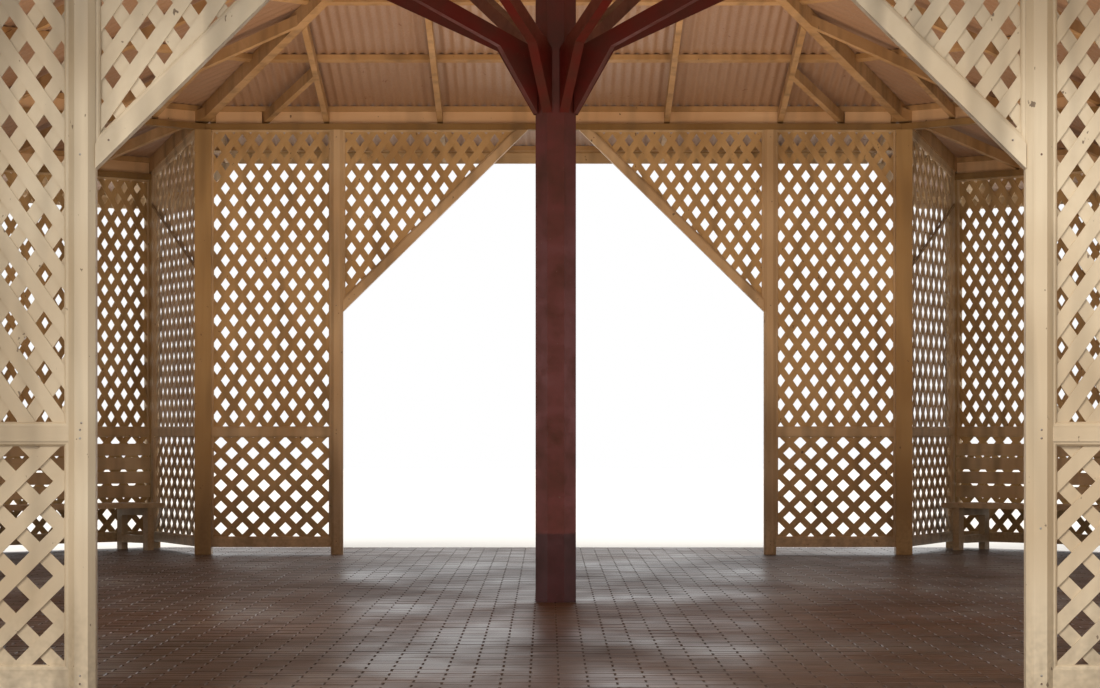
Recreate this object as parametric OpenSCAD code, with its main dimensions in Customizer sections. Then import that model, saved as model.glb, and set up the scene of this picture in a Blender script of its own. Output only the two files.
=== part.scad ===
// Octagonal lattice pavilion with a low ribbed metal roof.
// Four entry walls stand back on an inner octagon and four bench alcoves
// reach out to an outer octagon. The origin is the middle of the underside
// of the floor slab, and the front entry faces -Y.

/* [Plan] */
// Distance from the centre to the entry walls
inner_apothem = 6930; // [6000:10:7400]
// Depth of the alcoves past the inner walls, square to a side
alcove_depth = 1470; // [1200:10:1600]
// Clear width of each entry opening
entry_w = 3450; // [2400:10:3800]
// Thickness of the floor slab
floor_t = 100; // [60:10:200]
// Slab edge past the middle of the alcove walls
floor_lip = 90; // [60:5:150]

/* [Posts] */
// Width of the square posts at the inner corners
corner_post_w = 134; // [110:2:180]
// Width of the square posts at the outer corners
outer_post_w = 100; // [80:5:140]
// Width of the square entry jambs
jamb_w = 100; // [80:5:140]
// Width of the chamfer on the arrises of the jambs
jamb_chamfer = 25; // [5:1:30]
// Width of the studs in the alcove walls
stud_w = 90; // [60:5:120]
// Bays between the studs of an alcove wall
wall_bays = 3; // [2:1:4]
// Width of the end stiles of the return panels
stile_w = 60; // [40:5:90]
// Drop from the ring plate to the foot of a return strap
strap_drop = 1140; // [900:20:1500]
// Rise of a return strap from its inner to its outer end
strap_rise = 610; // [200:10:660]
// Width of a return strap
strap_w = 30; // [20:2:50]
// Thickness of a return strap
strap_t = 6; // [4:1:10]

/* [Rails and plates] */
// Height of the underside of the ring plate above the floor
head_h = 3480; // [3200:4:3800]
// Depth of the plates on top of the posts
plate_t = 50; // [40:5:80]
// Width of the plates on top of the posts
plate_w = 100; // [80:5:130]
// Height of the middle of the mid rails above the floor
mid_rail_h = 1005; // [800:5:1200]
// Depth of the mid rails
mid_rail_t = 55; // [40:5:90]
// Depth of the bottom rails
bottom_rail_t = 70; // [50:5:110]
// Gap between the floor and the bottom rails
bottom_gap = 60; // [40:5:120]
// Thickness of all rails from face to face
rail_w = 50; // [45:5:80]

/* [Entry braces] */
// Height of the foot of the braces on the jambs
brace_spring_h = 1990; // [1700:10:2300]
// Flat width left between the tops of the braces
brace_head_w = 420; // [200:10:900]
// Width of the face of a brace
brace_face_w = 65; // [50:5:130]
// Thickness of a brace from face to face
brace_t = 70; // [50:5:90]

/* [Lattice] */
// Width of a slat
slat_w = 53; // [40:1:70]
// Thickness of a slat
slat_t = 8; // [6:1:14]
// Spacing of the slats measured along a rail
slat_pitch = 138; // [120:2:180]
// Spacing of the slats of the front entry along a rail
front_pitch = 128; // [110:2:200]
// Spacing of the slats of the one coarser return panel
coarse_pitch = 170; // [140:2:220]
// Slope of the slats from the horizontal
slat_angle = 55; // [45:1:60]
// Spacing of the slats below the mid rails
low_pitch = 176; // [140:2:220]
// Slope of the slats below the mid rails
low_angle = 45; // [40:1:60]
// Width of the border that holds the ends of the slats
border_w = 18; // [12:1:30]
// Space between the two layers of slats
layer_gap = 0.5; // [0.3:0.1:1]

/* [Roof] */
// Rise of the roof for each unit of run
pitch = 0.2; // [0.14:0.01:0.3]
// Width of a common rafter
rafter_w = 45; // [35:5:60]
// Depth of a common rafter
rafter_d = 85; // [70:5:120]
// Spacing of the common rafters along the plate
rafter_gap = 930; // [800:10:1100]
// Common rafters on each side of the middle one
commons_each = 2; // [1:1:2]
// Width of a hip rafter
hip_w = 75; // [60:5:90]
// Width of a purlin
purlin_w = 75; // [50:5:90]
// Depth of a purlin
purlin_d = 40; // [30:5:50]
// Spacing of the purlins up the slope
purlin_gap = 1320; // [1100:10:1500]
// Depth of the ribs of the roof sheet
sheet_t = 18; // [14:1:30]
// Overhang of the roof past the alcove walls
eave = 1100; // [700:10:1200]
// Overhang of the roof past the return walls
return_eave = 600; // [300:10:800]
// Overhang of the roof past the entry walls
entry_eave = 1150; // [700:10:1300]
// Depth of the fascia board
fascia_d = 130; // [90:5:150]
// Thickness of the fascia board
fascia_t = 22; // [18:1:30]
// Width of a hip cap measured on one side of the hip
cap_w = 110; // [80:5:150]
// Thickness of the folded sheet of the caps
cap_metal = 3; // [2:0.5:5]

/* [Centre post] */
// Width of the centre post across its flats
centre_post_w = 240; // [180:10:320]
// Height above the floor of the foot of the struts on the centre post
strut_foot_h = 2900; // [2400:20:3100]
// Height above the floor where a strut bends out
strut_bend_h = 3290; // [3200:10:3400]
// Distance from the centre where a strut bends out
strut_bend_r = 365; // [250:5:450]
// Distance from the centre where a strut meets its hip
strut_reach = 2760; // [1800:20:3000]
// Thickness of a strut
strut_t = 60; // [40:5:70]
// Depth of a strut
strut_d = 90; // [60:5:120]

/* [Benches] */
// Height of the bench seats above the floor
seat_h = 400; // [360:10:480]
// Depth of a bench seat from back to front
seat_d = 450; // [340:10:500]
// Thickness of the bench boards
board_t = 40; // [25:1:45]
// Gap between the two boards of a seat
board_gap = 12; // [8:1:20]
// Number of boards in the back of a bench
back_boards = 4; // [2:1:5]
// Width of a back board of a bench
back_board_w = 103; // [80:1:110]
// Gap between the back boards of a bench
back_gap = 17; // [8:1:25]
// Width of the uprights under a bench
leg_w = 65; // [45:5:90]
// Height above the floor of the low rail of a bench end
foot_rail_h = 60; // [30:5:120]

/* [Hidden] */

cream = [0.82, 0.74, 0.6];
shade_cream = [0.72, 0.62, 0.46];
timber = [0.66, 0.55, 0.4];
sheet_metal = [0.72, 0.66, 0.6];
dark_red = [0.3, 0.06, 0.06];
paving = [0.5, 0.4, 0.36];

turn = 45;
half = turn / 2;
inner_x = inner_apothem * tan(half);
outer_apothem = inner_apothem + alcove_depth;
outer_x = outer_apothem * tan(half);
inner_r = inner_apothem / cos(half);
outer_r = outer_apothem / cos(half);
eave_r = outer_apothem + eave;
entry_r = inner_apothem + entry_eave;
joint = 0.5;
// Height of the outlines in plan that pieces are cut with
cut_h = 2 * head_h;

mid_low = mid_rail_h - mid_rail_t / 2;
mid_high = mid_rail_h + mid_rail_t / 2;
rail_top = bottom_gap + bottom_rail_t;
ring_top = head_h + plate_t;

// Underside of the rafters at a distance r from the centre, square to a side
function rafter_z(r) = ring_top + pitch * (inner_apothem + plate_w / 2 - r);
// Top of the rafters, on which the purlins lie
function purlin_z(r) = rafter_z(r) + rafter_d;
// Underside of the roof sheet
function sheet_z(r) = purlin_z(r) + purlin_d;
// Underside of a hip at a distance r from the centre along the hip
function hip_z(r) = rafter_z(r * cos(half));

outer_head = rafter_z(outer_apothem + plate_w / 2) - plate_t;

module on_floor() {
    translate([0, 0, floor_t]) children();
}

// One copy on each entry side, the first facing -Y
module entry_sides() {
    for (i = [0:3]) rotate([0, 0, 2 * turn * i]) children();
}

// One copy on each alcove side
module alcove_sides() {
    rotate([0, 0, turn]) entry_sides() children();
}

module both_sides() {
    for (i = [0:1]) mirror([i, 0, 0]) children();
}

// A flat outline in x and z, made thick about the plane y = -away
module upright(away, thick) {
    translate([0, thick / 2 - away, 0]) rotate([90, 0, 0]) linear_extrude(thick) children();
}

// An outline in run and height, made wide about the middle of the -Y side
module across(width) {
    rotate([90, 0, -90]) translate([0, 0, -width / 2]) linear_extrude(width) children();
}

// A bar along the x axis from x0 to x1, centred on y = -away
module bar(x0, x1, away, deep, low, high) {
    translate([x0, -away - deep / 2, low]) cube([x1 - x0, deep, high - low]);
}

// The wedge of plan that belongs to the -Y side, drawn back from both hips
module wedge(back, tip, reach) {
    linear_extrude(cut_h)
        polygon([
            [-tip * tan(half) + back / cos(half), -tip],
            [tip * tan(half) - back / cos(half), -tip],
            [reach * tan(half) - back / cos(half), -reach],
            [-reach * tan(half) + back / cos(half), -reach]
        ]);
}

/* Lattice */

// The part of a convex outline that lies within c along n
function clip(p, n, c) = [
    for (i = [0:len(p) - 1])
        let (a = p[i], b = p[(i + 1) % len(p)], da = n * a - c, db = n * b - c)
            each concat(
                da <= 0 ? [a] : [],
                da * db < 0 ? [a + (b - a) * da / (da - db)] : []
            )
];

// The unit normal that points out of edge i of an anticlockwise outline
function edge_normal(p, i) =
    let (e = p[(i + 1) % len(p)] - p[i]) [e[1], -e[0]] / norm(e);

// A convex outline drawn in by d on every edge
function inset(p, d, i = 0, q = undef) =
    i == len(p) ? q : inset(
        p, d, i + 1,
        clip(i == 0 ? p : q, edge_normal(p, i), edge_normal(p, i) * p[i] - d)
    );

// One layer of slats held in a border. A lean of 1 rises to the right.
module slat_layer(outline, lean, angle, spacing) {
    n = [sin(angle) * lean, -cos(angle)];
    step = spacing * sin(angle);
    field = inset(outline, border_w);
    reach = [for (q = field) n * q];
    difference() {
        polygon(outline);
        for (i = [floor(min(reach) / step):ceil(max(reach) / step)]) {
            slot = clip(clip(field, n, (i + 1) * step - slat_w), -n, -i * step);
            if (len(slot) > 2) polygon(slot);
        }
    }
}

// A lattice panel of two layers whose slats cross
module lattice(outline, away, lean, angle = slat_angle, spacing = slat_pitch) {
    for (way = [-1, 1])
        upright(away + way * (slat_t + layer_gap) / 2, slat_t)
            slat_layer(outline, way * lean, angle, spacing);
}

// A panel of the wider and flatter lattice below a mid rail
module low_lattice(x0, x1, away, lean = 1) {
    lattice(oblong(x0, x1, rail_top, mid_low), away, lean, low_angle, low_pitch);
}

function oblong(x0, x1, z0, z1) = [[x0, z0], [x1, z0], [x1, z1], [x0, z1]];

/* Floor and posts */

module floor_slab() {
    color(paving) rotate([0, 0, half])
        cylinder(h = floor_t, r = (outer_apothem + floor_lip) / cos(half), $fn = 8);
}

module corner_posts() {
    color(shade_cream) on_floor() entry_sides() both_sides()
        bar(
            inner_x - corner_post_w / 2, inner_x + corner_post_w / 2,
            inner_apothem, corner_post_w, 0, head_h
        );
}

module outer_posts() {
    color(shade_cream) on_floor() alcove_sides() both_sides()
        bar(
            outer_x - outer_post_w / 2, outer_x + outer_post_w / 2,
            outer_apothem, outer_post_w, 0, outer_head
        );
}

// The jamb outline in plan, with all four arrises chamfered
module jamb_outline() {
    w = jamb_w / 2;
    c = w - jamb_chamfer;
    polygon([[-w, -c], [-c, -w], [c, -w], [w, -c], [w, c], [c, w], [-c, w], [-w, c]]);
}

jamb_x = (entry_w + jamb_w) / 2;

module jamb_posts() {
    color(cream) on_floor() entry_sides() both_sides()
        translate([jamb_x, -inner_apothem, 0]) linear_extrude(head_h) jamb_outline();
}

// Studs stand between the outer posts of an alcove wall
wall_end = outer_x - outer_post_w / 2;
bay_step = (2 * wall_end + stud_w) / wall_bays;
bay_w = bay_step - stud_w;

function bay_x(i) = -wall_end + i * bay_step;

module wall_studs() {
    color(shade_cream) on_floor() alcove_sides()
        for (i = [1:wall_bays - 1])
            bar(bay_x(i) - stud_w, bay_x(i), outer_apothem, stud_w, 0, outer_head);
}

/* Plates and rails */

// The plates of the inner ring and those on the alcove walls
module top_plates() {
    r = inner_apothem + plate_w / 2;
    x = outer_x + outer_post_w / 2;
    color(timber) on_floor() {
        for (i = [0:7]) rotate([0, 0, turn * i])
            intersection() {
                bar(-r, r, inner_apothem, plate_w, head_h, ring_top);
                wedge(joint, inner_apothem / 2, 2 * inner_apothem);
            }
        alcove_sides() bar(-x, x, outer_apothem, plate_w, outer_head, outer_head + plate_t);
    }
}

side_in = jamb_x + jamb_w / 2;
side_out = inner_x - corner_post_w / 2;

module entry_rails() {
    color(cream) on_floor() entry_sides() both_sides() {
        bar(side_in, side_out, inner_apothem, rail_w, mid_low, mid_high);
        bar(side_in, side_out, inner_apothem, rail_w, bottom_gap, rail_top);
    }
}

// Corners of a brace on the face of the right half of an entry
brace_foot = [entry_w / 2, brace_spring_h];
brace_top = [brace_head_w / 2, head_h];
brace_run = brace_top - brace_foot;
brace_up = brace_face_w * norm(brace_run) / abs(brace_run[0]);
brace_along = brace_face_w * norm(brace_run) / abs(brace_run[1]);

module entry_braces() {
    color(cream) on_floor() entry_sides() both_sides()
        upright(inner_apothem, brace_t)
            polygon([
                brace_foot,
                brace_foot + [0, brace_up],
                brace_top + [brace_along, 0],
                brace_top
            ]);
}

module entry_lattice(side) {
    spandrel = [
        brace_foot + [0, brace_up],
        [entry_w / 2, head_h],
        brace_top + [brace_along, 0]
    ];
    spacing = side == 0 ? front_pitch : slat_pitch;
    upper = oblong(side_in, side_out, mid_high, head_h);
    color(cream) on_floor() rotate([0, 0, 2 * turn * side])
        for (i = [0:1]) mirror([i, 0, 0]) {
            low_lattice(side_in, side_out, inner_apothem, 1 - 2 * i);
            lattice(upper, inner_apothem, 1, slat_angle, spacing);
            lattice(spandrel, inner_apothem, 1 - 2 * i, slat_angle, spacing);
        }
}

module wall_rails() {
    color(shade_cream) on_floor() alcove_sides()
        for (i = [0:wall_bays - 1]) {
            bar(bay_x(i), bay_x(i) + bay_w, outer_apothem, rail_w, mid_low, mid_high);
            bar(bay_x(i), bay_x(i) + bay_w, outer_apothem, rail_w, bottom_gap, rail_top);
        }
}

module wall_lattice(side) {
    color(shade_cream) on_floor() rotate([0, 0, turn + 2 * turn * side])
        for (i = [0:wall_bays - 1]) {
            low_lattice(bay_x(i), bay_x(i) + bay_w, outer_apothem);
            lattice(oblong(bay_x(i), bay_x(i) + bay_w, mid_high, outer_head), outer_apothem, -1);
        }
}

/* Return panels, drawn along +X with the inner corner at the origin */

return_len = outer_r - inner_r;
skew = tan(half) * rail_w / 2;
return_in = corner_post_w / 2 / cos(half) + skew + stile_w;
return_out = return_len - outer_post_w / 2 / cos(half) - skew - stile_w;
cap_t = plate_t;

// Puts a piece drawn along +X on the line from each inner to each outer corner
module return_line(side) {
    for (i = [0:1]) return_side(side, i) children();
}

module return_side(side, flip) {
    rotate([0, 0, 2 * turn * side]) mirror([flip, 0, 0])
        translate([inner_x, -inner_apothem, 0]) rotate([0, 0, half - 90]) children();
}

function return_head(u) = hip_z(inner_r + u) - cap_t;

// A stile whose outer edge is cut to the face of the post it stands against
module stile(edge_u, cut_u, way) {
    h = rail_w / 2;
    intersection() {
        linear_extrude(cut_h)
            polygon([
                [edge_u, -h], [edge_u, h],
                [cut_u + skew * way, h], [cut_u - skew * way, -h]
            ]);
        rotate([90, 0, 0]) translate([0, 0, -rail_w])
            linear_extrude(2 * rail_w)
                polygon([
                    [0, 0], [return_len, 0],
                    [return_len, return_head(return_len)], [0, return_head(0)]
                ]);
    }
}

module return_stiles() {
    color(shade_cream) on_floor() for (i = [0:3]) return_line(i) {
        stile(return_in, return_in - stile_w - skew, 1);
        stile(return_out, return_out + stile_w + skew, -1);
    }
}

module return_bar(low, high) {
    translate([return_in, -rail_w / 2, low]) cube([return_out - return_in, rail_w, high - low]);
}

module return_rails() {
    start = return_in - stile_w;
    end = return_out + stile_w;
    color(shade_cream) on_floor() for (i = [0:3]) return_line(i) {
        return_bar(mid_low, mid_high);
        return_bar(bottom_gap, rail_top);
        rotate([90, 0, 0]) translate([0, 0, -rail_w / 2])
            linear_extrude(rail_w)
                polygon([
                    [start, return_head(start)], [end, return_head(end)],
                    [end, return_head(end) + cap_t], [start, return_head(start) + cap_t]
                ]);
    }
}

// A slanted flat strap across the alcove side of each return panel
module return_straps() {
    middle = stile_w / 2;
    u0 = return_in - middle;
    u1 = return_out + middle;
    foot = head_h - strap_drop;
    color(shade_cream) on_floor() for (i = [0:3]) return_line(i)
        upright(-(rail_w + strap_t) / 2 - joint, strap_t)
            polygon([
                [u0, foot], [u1, foot + strap_rise],
                [u1, foot + strap_rise + strap_w], [u0, foot + strap_w]
            ]);
}

module return_lattice(side) {
    upper = [
        [return_in, mid_high], [return_out, mid_high],
        [return_out, return_head(return_out)], [return_in, return_head(return_in)]
    ];
    color(shade_cream) on_floor() for (i = [0:1]) return_side(side, i) {
        low_lattice(return_in, return_out, 0);
        lattice(upper, 0, 1, slat_angle, side == 2 && i == 1 ? coarse_pitch : slat_pitch);
    }
}

/* Roof frame */

hub_r = centre_post_w / 2;
hub_corner = hub_r / cos(half);

module hip_rafters() {
    drop = pitch * sin(half) * hip_w / 2 + joint;
    high = rafter_d + purlin_d - drop;
    start = hub_corner + joint;
    end = (eave_r - joint) / cos(half) - hip_w / 2 * tan(half);
    color(timber) on_floor() for (i = [0:7]) rotate([0, 0, turn * i + half])
        across(hip_w)
            polygon([
                [start, hip_z(start)], [end, hip_z(end)],
                [end, hip_z(end) + high], [start, hip_z(start) + high]
            ]);
}

// A bar in the slope of the -Y plane, as deep as a rafter
module sloped_bar(r0, r1, width) {
    across(width)
        polygon([
            [r0, rafter_z(r0)], [r1, rafter_z(r1)], [r1, purlin_z(r1)], [r0, purlin_z(r0)]
        ]);
}

last_rafter = (commons_each + 1) * rafter_gap;

// The rafters of one roof plane, cut back to the faces of the hips
module rafter_set(end) {
    intersection() {
        for (x = [-last_rafter:rafter_gap:last_rafter]) translate([x, 0, 0])
            sloped_bar(hub_r + joint, end, rafter_w);
        wedge(hip_w / 2 + joint, rafter_w + hip_w, end);
    }
}

module entry_rafters() {
    color(timber) on_floor() entry_sides() rafter_set(entry_r);
}

module alcove_rafters() {
    color(timber) on_floor() alcove_sides() rafter_set(eave_r);
}

rafter_face = commons_each * rafter_gap + rafter_w / 2;
hip_face = (hip_w / 2 + joint) / cos(half);
jack_x = (rafter_face + inner_x - hip_face) / 2;
jack_half = rafter_w / 2 / cos(half);
plate_edge = inner_apothem + plate_w / 2;

// Middle line of a jack at a distance r from the centre, parallel to its hip
function jack_at(r) = jack_x + (r - inner_apothem) * tan(half);

// Short rafters beside the hips, from the ring plate to the outer rafters
module jack_rafters() {
    x0 = rafter_face + joint;
    near = inner_apothem - (jack_x - x0) / tan(half);
    color(timber) on_floor() for (i = [0:7]) rotate([0, 0, turn * i]) both_sides()
        intersection() {
            sloped_bar(near - inner_x, plate_edge, 2 * inner_x);
            linear_extrude(cut_h)
                polygon([
                    [x0, -near - jack_half / tan(half)], [x0, -near + jack_half / tan(half)],
                    [jack_at(plate_edge) + jack_half, -plate_edge],
                    [jack_at(plate_edge) - jack_half, -plate_edge]
                ]);
        }
}

// A board on edge between two rafters, over a plate at a distance r
module block(x0, x1, r) {
    r0 = r - board_t / 2;
    r1 = r + board_t / 2;
    translate([(x0 + x1) / 2, 0, 0])
        across(x1 - x0 - 2 * joint)
            polygon([
                [r0, rafter_z(plate_w / 2 + r)], [r1, rafter_z(plate_w / 2 + r)],
                [r1, purlin_z(r1) - joint], [r0, purlin_z(r0) - joint]
            ]);
}

// Blocks between the common rafters, from the middle out to rafter number last
module inner_blocks(r, last) {
    for (i = [-last:last - 1])
        block(i * rafter_gap + rafter_w / 2, (i + 1) * rafter_gap - rafter_w / 2, r);
}

module plate_blocks() {
    lean = board_t / 2 * tan(half);
    ring_end = min(inner_x - hip_face - lean, last_rafter - rafter_w / 2);
    wall_hip = outer_x - hip_face - lean;
    color(cream) on_floor() {
        for (i = [0:7]) rotate([0, 0, turn * i]) {
            inner_blocks(inner_apothem, commons_each);
            both_sides() {
                block(rafter_face, jack_x - jack_half - lean, inner_apothem);
                block(jack_x + jack_half + lean, ring_end, inner_apothem);
            }
        }
        alcove_sides() {
            inner_blocks(outer_apothem, commons_each + 1);
            both_sides() block(last_rafter + rafter_w / 2, wall_hip, outer_apothem);
        }
    }
}

// Purlin rows run down from the row over the ring plate and out to the eaves
purlin_rows = [
    for (i = [0:floor((inner_apothem - hub_r) / purlin_gap) - 1]) inner_apothem - i * purlin_gap
];

module purlin(r) {
    r0 = r - purlin_w / 2;
    r1 = r + purlin_w / 2;
    intersection() {
        across(2 * inner_apothem)
            polygon([
                [r0, purlin_z(r0)], [r1, purlin_z(r1)],
                [r1, sheet_z(r1)], [r0, sheet_z(r0)]
            ]);
        wedge(hip_w / 2 + joint, rafter_w, eave_r);
    }
}

// The rows over the alcove walls and at the eaves
module outer_purlins() {
    for (r = [outer_apothem, eave_r - purlin_w / 2]) purlin(r);
}

module purlins() {
    color(timber) on_floor() {
        for (i = [0:7]) rotate([0, 0, turn * i]) for (r = purlin_rows) purlin(r);
        entry_sides() {
            purlin(entry_r - purlin_w / 2);
            intersection() {
                outer_purlins();
                side_eaves(entry_r, return_eave - fascia_t - joint);
            }
        }
        alcove_sides() outer_purlins();
    }
}

// Distance across a side, at r, to a line parallel to its hip
function side_edge(r, away = return_eave) = r * tan(half) - away / cos(half);

// The strips of an entry plane that run out over the return walls
module side_eaves(start, away = return_eave) {
    both_sides() linear_extrude(cut_h)
        polygon([
            [side_edge(start, away), -start], [start * tan(half), -start],
            [eave_r * tan(half), -eave_r], [side_edge(eave_r, away), -eave_r]
        ]);
}

module sheet_slab(r0, r1, low, high) {
    across(2 * inner_apothem)
        polygon([
            [r0, sheet_z(r0) + low], [r1, sheet_z(r1) + low],
            [r1, sheet_z(r1) + high], [r0, sheet_z(r0) + high]
        ]);
}

// An entry plane has a sheet to its own eave and two strips beyond it
module roof_sheet(number) {
    is_entry = number % 2 == 1;
    end = is_entry ? entry_r : eave_r;
    color(sheet_metal) on_floor() rotate([0, 0, turn * (number - 1)]) {
        intersection() {
            sheet_slab(hub_r, end, 0, sheet_t);
            wedge(joint, hub_r, end);
        }
        if (is_entry) intersection() {
            sheet_slab(end + joint, eave_r, 0, sheet_t);
            side_eaves(end);
            wedge(joint, hub_r, eave_r);
        }
    }
}

// The caps of the hips and the cap of the apex
module roof_caps() {
    color(sheet_metal) on_floor() {
        for (i = [0:7]) rotate([0, 0, turn * i]) cap_pair();
        apex_cap();
    }
}

// The strips of hip cap along both edges of one roof plane
module cap_pair() {
    tip = hub_r + cap_w;
    both_sides() intersection() {
        sheet_slab(tip, eave_r, sheet_t, sheet_t + cap_metal);
        linear_extrude(cut_h)
            polygon([
                [tip * tan(half) - joint, -tip],
                [tip * tan(half) - cap_w, -tip],
                [eave_r * tan(half) - cap_w, -eave_r],
                [eave_r * tan(half) - joint, -eave_r]
            ]);
    }
}

// A low octagonal cone of sheet over the ends of the hip caps
module apex_cap() {
    reach = hub_r + 2 * cap_w;
    base = sheet_z(reach) + sheet_t + cap_metal;
    rotate([0, 0, half]) translate([0, 0, base + joint]) difference() {
        translate([0, 0, cap_metal]) cone(reach);
        cone(reach);
    }
}

module cone(reach) {
    cylinder(h = pitch * reach, r1 = reach / cos(half), r2 = 0, $fn = 8);
}

// A fascia board along x from x0 to x1, fixed to the rafter ends at r
module fascia_board(x0, x1, r) {
    bar(x0, x1, r + fascia_t / 2, fascia_t, sheet_z(r) - fascia_d, sheet_z(r + fascia_t));
}

// The board of a side eave, sloping beside its hip
module side_fascia() {
    function along(r) = (r - return_eave * sin(half)) / cos(half);
    start = entry_r + fascia_t + joint;
    r1 = eave_r - joint;
    rotate([0, 0, half]) translate([fascia_t / 2 - return_eave, 0, 0])
        across(fascia_t)
            polygon([
                [along(start), sheet_z(start) - fascia_d], [along(r1), sheet_z(r1) - fascia_d],
                [along(r1), sheet_z(r1) - 2 * joint - fascia_t * pitch],
                [along(start), sheet_z(start) - 2 * joint - fascia_t * pitch]
            ]);
}

module fascia() {
    color(cream) on_floor() {
        alcove_sides() intersection() {
            fascia_board(-eave_r, eave_r, eave_r);
            wedge(joint, inner_apothem, eave_r + fascia_t);
        }
        entry_sides() {
            fascia_board(-side_edge(entry_r) + joint, side_edge(entry_r) - joint, entry_r);
            both_sides() {
                intersection() {
                    fascia_board(side_edge(eave_r) + joint, eave_r, eave_r);
                    wedge(joint, inner_apothem, eave_r + fascia_t);
                }
                side_fascia();
            }
        }
    }
}

/* Centre post */

module centre_post() {
    color(dark_red) on_floor() rotate([0, 0, half])
        cylinder(h = sheet_z(hub_r), r = hub_r / cos(half), $fn = 8);
}

// A strut stands out of the post, bends and runs up to the underside of its hip
module post_struts() {
    r0 = hub_corner + joint;
    slope = (hip_z(strut_reach) - strut_bend_h) / (strut_reach - strut_bend_r);
    rise = strut_d * sqrt(1 + slope * slope);
    top_r = strut_reach - rise / (slope + pitch * cos(half));
    color(dark_red) on_floor() for (i = [0:7]) rotate([0, 0, turn * i + half])
        across(strut_t)
            polygon([
                [r0, strut_foot_h], [strut_bend_r, strut_bend_h],
                [strut_reach, hip_z(strut_reach)], [top_r, hip_z(top_r)],
                [r0, strut_bend_h + rise - slope * (strut_bend_r - r0)]
            ]);
}

/* Benches */

bench_end = wall_end - seat_d * tan(half) - 2 * board_gap;
bench_back = outer_apothem - stud_w / 2;

module bench_seats() {
    plank = (seat_d - board_gap) / 2;
    color(cream) on_floor() alcove_sides()
        for (i = [0:1])
            bar(
                -bench_end, bench_end,
                bench_back - board_gap - plank / 2 - i * (plank + board_gap), plank,
                seat_h - board_t, seat_h
            );
}

// Boards across the studs behind a seat
module bench_backs() {
    thick = board_t / 2;
    start = seat_h + board_t;
    end = wall_end - 2 * board_gap;
    color(cream) on_floor() alcove_sides()
        for (i = [0:back_boards - 1]) {
            low = start + i * (back_board_w + back_gap);
            bar(-end, end, bench_back - thick / 2 - joint, thick, low, low + back_board_w);
        }
}

// Each bench end has two uprights and a low rail between them
module bench_legs() {
    back = bench_back - board_gap;
    front = back - seat_d + 2 * board_gap;
    color(shade_cream) on_floor() alcove_sides()
        for (x = [-bench_end + 2 * leg_w, -bench_end / 3, bench_end / 3, bench_end - 2 * leg_w])
            translate([x, 0, 0]) across(leg_w)
                difference() {
                    polygon(oblong(front, back, 0, seat_h - board_t));
                    polygon(oblong(front + leg_w, back - leg_w, 0, foot_rail_h));
                    polygon(oblong(
                        front + leg_w, back - leg_w,
                        foot_rail_h + leg_w, seat_h - board_t - leg_w
                    ));
                }
}

floor_slab();
corner_posts();
outer_posts();
jamb_posts();
wall_studs();
top_plates();
entry_rails();
entry_braces();
wall_rails();
return_stiles();
return_rails();
return_straps();
entry_lattice(0);  // front_entry_lattice
entry_lattice(1);  // right_entry_lattice
entry_lattice(2);  // back_entry_lattice
entry_lattice(3);  // left_entry_lattice
wall_lattice(0);  // front_right_lattice
wall_lattice(1);  // back_right_lattice
wall_lattice(2);  // back_left_lattice
wall_lattice(3);  // front_left_lattice
return_lattice(0);  // front_return_lattice
return_lattice(1);  // right_return_lattice
return_lattice(2);  // back_return_lattice
return_lattice(3);  // left_return_lattice
hip_rafters();
entry_rafters();
alcove_rafters();
jack_rafters();
plate_blocks();
purlins();
roof_sheet(1);  // roof_sheet_1
roof_sheet(2);  // roof_sheet_2
roof_sheet(3);  // roof_sheet_3
roof_sheet(4);  // roof_sheet_4
roof_sheet(5);  // roof_sheet_5
roof_sheet(6);  // roof_sheet_6
roof_sheet(7);  // roof_sheet_7
roof_sheet(8);  // roof_sheet_8
roof_caps();
fascia();
centre_post();
post_struts();
bench_seats();
bench_backs();
bench_legs();
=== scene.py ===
"""The looks of the garden bandstand: finishes, brick floor, ribbed roof, beads, fixings, studio."""

import logging
import math
import random
from dataclasses import dataclass, field
from enum import Enum

import bpy
from mathutils import Matrix, Vector


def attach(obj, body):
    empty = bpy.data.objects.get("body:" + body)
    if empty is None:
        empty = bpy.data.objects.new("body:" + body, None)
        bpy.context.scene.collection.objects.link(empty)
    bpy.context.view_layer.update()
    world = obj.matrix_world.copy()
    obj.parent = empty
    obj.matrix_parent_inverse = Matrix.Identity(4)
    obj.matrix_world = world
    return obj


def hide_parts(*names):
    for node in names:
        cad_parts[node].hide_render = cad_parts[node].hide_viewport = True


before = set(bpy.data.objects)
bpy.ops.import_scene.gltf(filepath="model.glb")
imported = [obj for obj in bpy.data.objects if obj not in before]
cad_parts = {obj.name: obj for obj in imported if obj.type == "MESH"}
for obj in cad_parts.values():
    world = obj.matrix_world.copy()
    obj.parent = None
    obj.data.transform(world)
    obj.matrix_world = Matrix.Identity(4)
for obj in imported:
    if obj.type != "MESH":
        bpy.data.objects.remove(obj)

LOG = logging.getLogger("bandstand")

Point2 = tuple[float, float]
Colour = tuple[float, float, float]
Point3 = tuple[float, float, float]
Value = float | bpy.types.NodeSocket
Tint = Colour | bpy.types.NodeSocket

TURN = math.radians(45.0)
HALF = math.radians(22.5)
TAN_HALF = math.tan(HALF)
COS_HALF = math.cos(HALF)
SIN_HALF = math.sin(HALF)


# Sizes


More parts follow.
